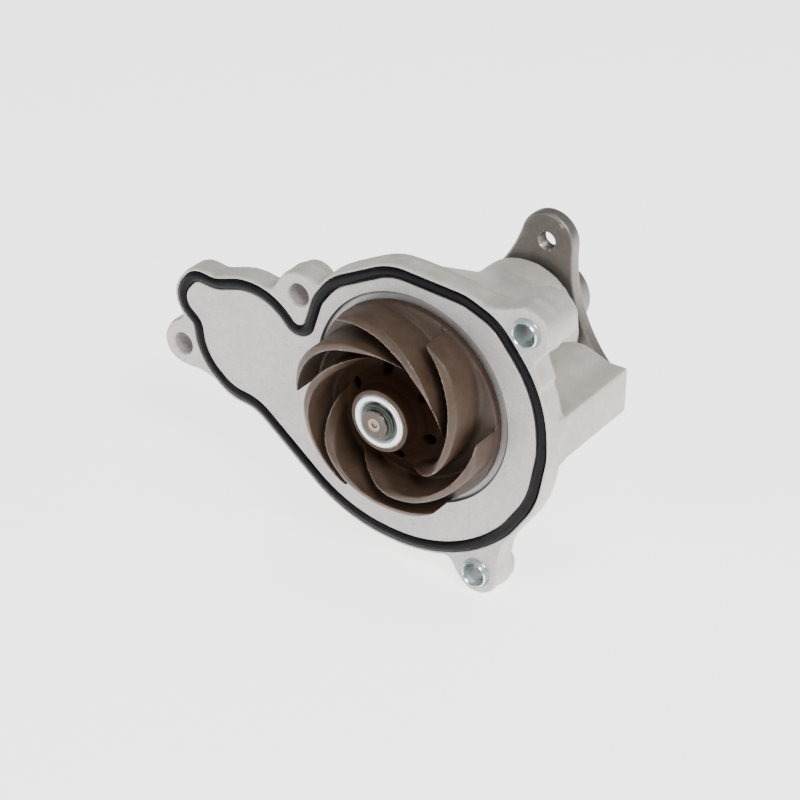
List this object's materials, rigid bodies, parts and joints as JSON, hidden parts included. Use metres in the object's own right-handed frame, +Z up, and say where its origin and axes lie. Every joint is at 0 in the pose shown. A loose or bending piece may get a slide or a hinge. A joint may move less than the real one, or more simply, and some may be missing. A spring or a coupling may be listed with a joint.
{
  "type": "engine water pump",
  "caption": "Engine coolant pump: flanged cast housing with a face seal and shaft bearing, a moulded open impeller at the front and a three-arm drive flange at the rear.",
  "frame": {"origin": "on the shaft axis, in the plane of the machined mounting face", "axes": "+Y along the shaft from the impeller to the drive flange, +Z up, +X to the right as seen from the impeller side"},
  "size_m": [0.1386, 0.099, 0.0996],
  "materials": {
    "cast_aluminium": "fine as-cast skin with machined faces",
    "seal_rubber": "smooth satin rubber",
    "zinc_steel": "bright zinc plate",
    "brown_phenolic": "mineral-filled moulding with a satin skin",
    "insert_steel": "fine turned",
    "shaft_steel": "ground",
    "flange_steel": "sintered steel, tumbled edges",
    "bearing_steel": "ground and polished",
    "cage_polymer": "natural glass-filled nylon",
    "pressed_steel": "drawn stainless sheet",
    "spring_steel": "drawn wire",
    "carbon": "lapped carbon graphite",
    "silicon_carbide": "lapped ceramic"
  },
  "bodies": {
    "housing": {"housing": "cast_aluminium", "flange_seal": "seal_rubber", "upper_locating_sleeve": "zinc_steel", "lower_locating_sleeve": "zinc_steel", "bearing_outer_ring": "bearing_steel", "front_bearing_seal": "seal_rubber", "rear_bearing_seal": "seal_rubber", "seal_cup": "pressed_steel", "seal_bellows": "seal_rubber", "seal_spring": "spring_steel", "spring_retainer": "pressed_steel", "carbon_ring": "carbon"},
    "rotor": {"shaft": "shaft_steel", "impeller": "brown_phenolic", "impeller_insert": "insert_steel", "drive_flange": "flange_steel", "mating_ring": "silicon_carbide", "mating_ring_boot": "seal_rubber", "slinger": "pressed_steel"},
    "front_cage": {"front_ball_row": "bearing_steel", "front_ball_cage": "cage_polymer"},
    "rear_cage": {"rear_ball_row": "bearing_steel", "rear_ball_cage": "cage_polymer"}
  },
  "joints": [
    {"name": "shaft_spin", "type": "hinge", "parent": "housing", "child": "rotor", "pos_m": [0, 0.042, 0], "axis": [0, 1, 0], "continuous": true},
    {"name": "front_cage_orbit", "type": "hinge", "parent": "housing", "child": "front_cage", "pos_m": [0, 0.033, 0], "axis": [0, 1, 0], "continuous": true},
    {"name": "rear_cage_orbit", "type": "hinge", "parent": "housing", "child": "rear_cage", "pos_m": [0, 0.051, 0], "axis": [0, 1, 0], "continuous": true}
  ],
  "couplings": [
    {"joint": "front_cage_orbit", "follows": "shaft_spin", "ratio": 0.3638},
    {"joint": "rear_cage_orbit", "follows": "shaft_spin", "ratio": 0.3638}
  ]
}
